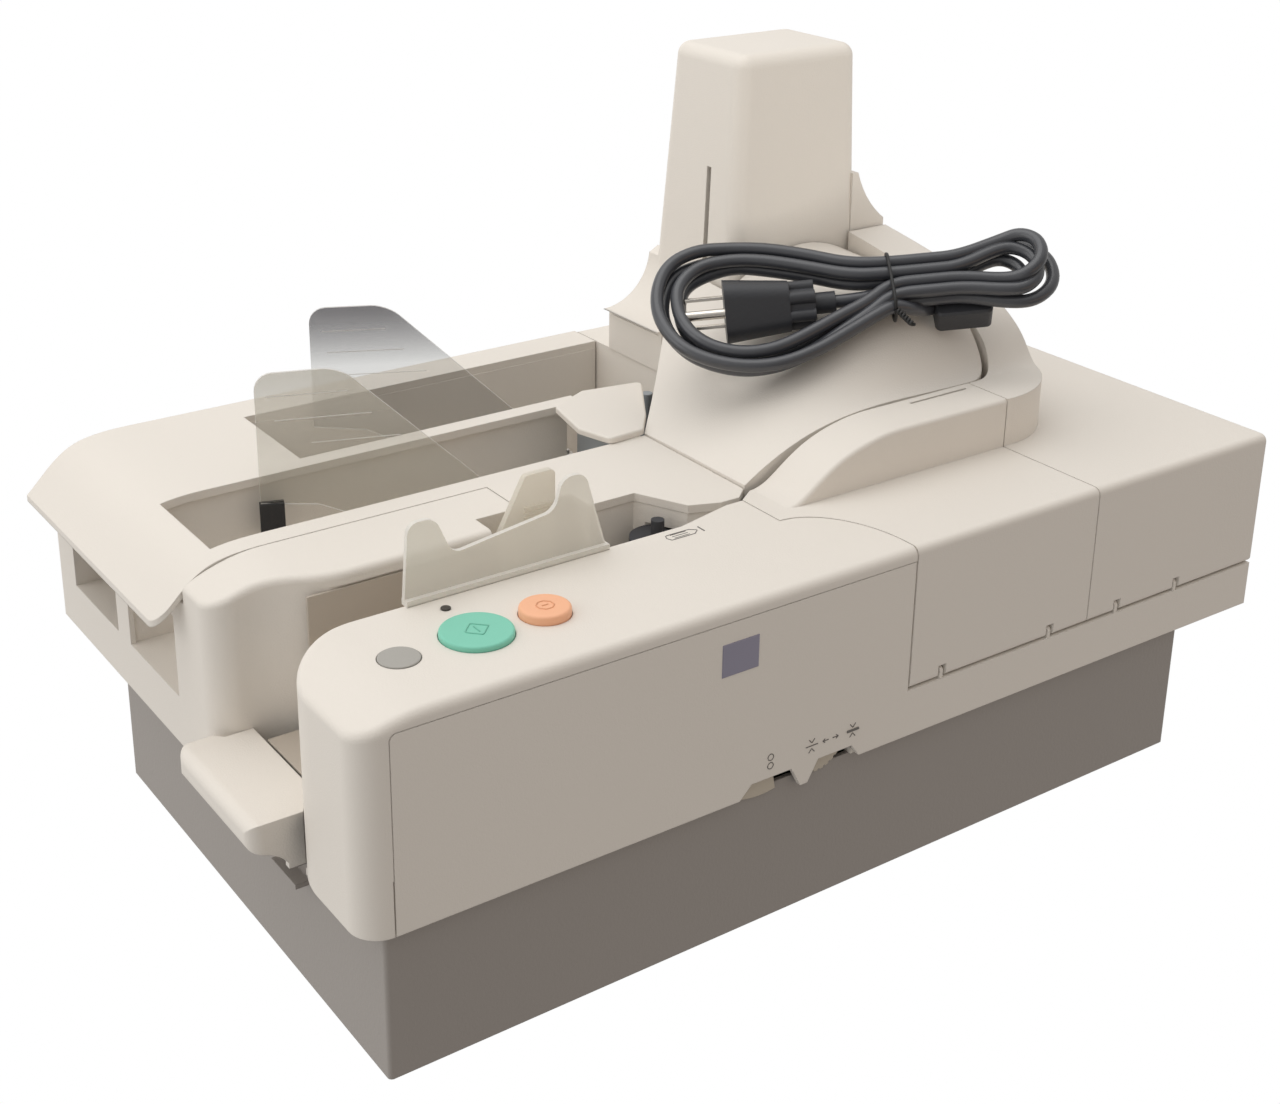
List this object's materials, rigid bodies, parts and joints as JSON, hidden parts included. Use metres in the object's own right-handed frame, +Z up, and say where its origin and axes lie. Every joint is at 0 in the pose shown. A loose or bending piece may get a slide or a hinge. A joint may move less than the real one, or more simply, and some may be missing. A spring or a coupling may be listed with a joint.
{
  "type": "cheque scanner",
  "caption": "Desktop cheque scanner with a feeder slot, hinged track covers, sorting pockets and a tall printer tower, its mains lead tied in a hank on top.",
  "frame": {"origin": "centre of the footprint's bounding box, on the surface that the feet stand on", "axes": "+X from the feeder end to the turn end, -Y the operator's side, +Z up"},
  "size_m": [0.507, 0.312, 0.33],
  "materials": {
    "ivory_cover": "fine-grained moulded plastic",
    "grey_steel": "satin grey paint",
    "rubber_foot": "moulded rubber",
    "black_plastic": "black moulded plastic",
    "dark_steel": "dark plated steel",
    "bright_steel": "brushed steel",
    "zinc_plate": "zinc-plated steel sheet",
    "roller_rubber": "ground rubber",
    "aluminium_drum": "turned aluminium",
    "circuit_board": "green circuit board",
    "supply_case": "folded aluminium",
    "belt_rubber": "toothed belt",
    "grey_button": "grey moulded plastic",
    "green_button": "pale green moulded plastic",
    "peach_button": "peach moulded plastic",
    "tan_lever": "tan moulded plastic",
    "clear_grey": "smoked clear plastic",
    "clear_frost": "frosted clear plastic",
    "blue_grey": "blue-grey plastic",
    "lamp_red": "lamp lens",
    "cord_rubber": "flexible vinyl, satin"
  },
  "bodies": {
    "machine": {"base_pan": "grey_steel", "button_carrier": "black_plastic", "chassis_plate": "zinc_plate", "clear_guide": "clear_frost", "deck_guide": "ivory_cover", "deflector_panel": "blue_grey", "drive_belt": "belt_rubber", "drive_motor": "supply_case", "fan_frame": "black_plastic", "feeder_liner": "dark_steel", "feeder_shelf": "ivory_cover", "feet": "rubber_foot", "front_plate": "ivory_cover", "gate_cover": "ivory_cover", "hinge_pins": "bright_steel", "image_sensor": "black_plastic", "interface_ports": "black_plastic", "island_cover": "ivory_cover", "island_guide": "black_plastic", "lower_housing": "ivory_cover", "magnetic_head": "black_plastic", "main_board": "circuit_board", "operator_housing": "ivory_cover", "panel_lamp": "lamp_red", "plate_pins": "bright_steel", "power_inlet": "black_plastic", "power_supply": "supply_case", "pusher_bracket": "black_plastic", "rear_housing": "ivory_cover", "shelf_bracket": "grey_steel", "stacker_cover": "ivory_cover", "switch_frame": "black_plastic", "tower_cover": "ivory_cover"},
    "front_cover": {"front_cover": "ivory_cover"},
    "cover_idler": {"cover_idler": "roller_rubber"},
    "corner_cover": {"corner_cover": "ivory_cover", "power_cord_hank": "cord_rubber", "power_plug": "cord_rubber", "cord_connector": "cord_rubber", "twist_tie": "cord_rubber"},
    "jog_button": {"jog_button": "grey_button"},
    "start_button": {"start_button": "green_button"},
    "stop_button": {"stop_button": "peach_button"},
    "pusher": {"pusher_plate": "clear_grey"},
    "plate_one": {"pocket_plate_one": "clear_grey", "plate_clip": "black_plastic"},
    "plate_two": {"pocket_plate_two": "clear_grey"},
    "sorter_gate": {"sorter_gate": "black_plastic"},
    "thickness_dial": {"thickness_dial": "tan_lever"},
    "gap_lever": {"gap_lever": "tan_lever"},
    "motor_pulley": {"motor_pulley": "aluminium_drum"},
    "pick_roller": {"pick_roller": "roller_rubber"},
    "feed_roller": {"feed_roller": "roller_rubber"},
    "retard_roller": {"retard_roller": "roller_rubber"},
    "drive_roller": {"drive_roller": "roller_rubber"},
    "front_drum": {"front_drum": "aluminium_drum"},
    "rear_drum": {"rear_drum": "aluminium_drum"},
    "fan_rotor": {"fan_rotor": "black_plastic"},
    "power_rocker": {"power_rocker": "black_plastic"}
  },
  "joints": [
    {"name": "front_cover_hinge", "type": "hinge", "parent": "machine", "child": "front_cover", "pos_m": [0.0815, -0.1534, 0.0996], "axis": [1, 0, 0], "range_deg": [0, 70]},
    {"name": "corner_cover_hinge", "type": "hinge", "parent": "machine", "child": "corner_cover", "pos_m": [0.1955, -0.1534, 0.0996], "axis": [1, 0, 0], "range_deg": [0, 60]},
    {"name": "jog_press", "type": "slide", "parent": "machine", "child": "jog_button", "axis": [0, 0, -1], "range_m": [0, 0.0016], "stiffness_N_per_m": 250, "springref_m": -0.0012},
    {"name": "start_press", "type": "slide", "parent": "machine", "child": "start_button", "axis": [0, 0, -1], "range_m": [0, 0.0016], "stiffness_N_per_m": 250, "springref_m": -0.0012},
    {"name": "stop_press", "type": "slide", "parent": "machine", "child": "stop_button", "axis": [0, 0, -1], "range_m": [0, 0.0016], "stiffness_N_per_m": 250, "springref_m": -0.0012},
    {"name": "pusher_slide", "type": "slide", "parent": "machine", "child": "pusher", "axis": [0, -1, 0], "range_m": [0, 0.028]},
    {"name": "plate_one_swing", "type": "hinge", "parent": "machine", "child": "plate_one", "pos_m": [-0.0465, 0.016, 0.13], "axis": [0, 0, 1], "range_deg": [0, 17], "stiffness_Nm_per_rad": 0.004, "springref_deg": -17.19},
    {"name": "plate_two_swing", "type": "hinge", "parent": "machine", "child": "plate_two", "pos_m": [0.0035, 0.0775, 0.13], "axis": [0, 0, 1], "range_deg": [0, 20], "stiffness_Nm_per_rad": 0.004, "springref_deg": -17.19},
    {"name": "gate_turn", "type": "hinge", "parent": "machine", "child": "sorter_gate", "pos_m": [0.0495, 0.072, 0.13], "axis": [0, 0, 1], "range_deg": [0, 10], "stiffness_Nm_per_rad": 0.004, "springref_deg": -17.19},
    {"name": "dial_turn", "type": "hinge", "parent": "machine", "child": "thickness_dial", "pos_m": [-0.0225, -0.149, 0.087], "axis": [0, 1, 0], "range_deg": [-135, 135]},
    {"name": "lever_swing", "type": "hinge", "parent": "machine", "child": "gap_lever", "pos_m": [-0.0525, -0.149, 0.111], "axis": [0, -1, 0], "range_deg": [0, 10]},
    {"name": "front_drum_turn", "type": "hinge", "parent": "machine", "child": "front_drum", "pos_m": [0.1415, -0.0507, 0.13], "axis": [0, 0, 1], "continuous": true},
    {"name": "motor_turn", "type": "hinge", "parent": "machine", "child": "motor_pulley", "pos_m": [0.0465, -0.004, 0.086], "axis": [0, 0, 1], "continuous": true},
    {"name": "pick_roller_turn", "type": "hinge", "parent": "machine", "child": "pick_roller", "pos_m": [-0.0715, -0.09, 0.13], "axis": [0, 0, 1], "continuous": true},
    {"name": "feed_roller_turn", "type": "hinge", "parent": "machine", "child": "feed_roller", "pos_m": [-0.0315, -0.0865, 0.13], "axis": [0, 0, 1], "continuous": true},
    {"name": "retard_roller_turn", "type": "hinge", "parent": "machine", "child": "retard_roller", "pos_m": [-0.0405, -0.062, 0.13], "axis": [0, 0, 1], "continuous": true},
    {"name": "drive_roller_turn", "type": "hinge", "parent": "machine", "child": "drive_roller", "pos_m": [0.0335, -0.06, 0.13], "axis": [0, 0, 1], "continuous": true},
    {"name": "rear_drum_turn", "type": "hinge", "parent": "machine", "child": "rear_drum", "pos_m": [0.1415, 0.054, 0.13], "axis": [0, 0, 1], "continuous": true},
    {"name": "idler_turn", "type": "hinge", "parent": "front_cover", "child": "cover_idler", "pos_m": [0.0335, -0.0772, 0.13], "axis": [0, 0, 1], "continuous": true},
    {"name": "fan_turn", "type": "hinge", "parent": "machine", "child": "fan_rotor", "pos_m": [0.011, 0.099, 0.038], "axis": [0, 1, 0], "continuous": true},
    {"name": "rocker_tip", "type": "hinge", "parent": "machine", "child": "power_rocker", "pos_m": [0.1315, 0.1, 0.038], "axis": [1, 0, 0], "range_deg": [-6, 6]}
  ],
  "couplings": [
    {"joint": "motor_turn", "follows": "front_drum_turn", "ratio": 1.5},
    {"joint": "pick_roller_turn", "follows": "front_drum_turn", "ratio": 1},
    {"joint": "feed_roller_turn", "follows": "front_drum_turn", "ratio": 1},
    {"joint": "retard_roller_turn", "follows": "front_drum_turn", "ratio": 1},
    {"joint": "drive_roller_turn", "follows": "front_drum_turn", "ratio": 1},
    {"joint": "rear_drum_turn", "follows": "front_drum_turn", "ratio": 1}
  ]
}
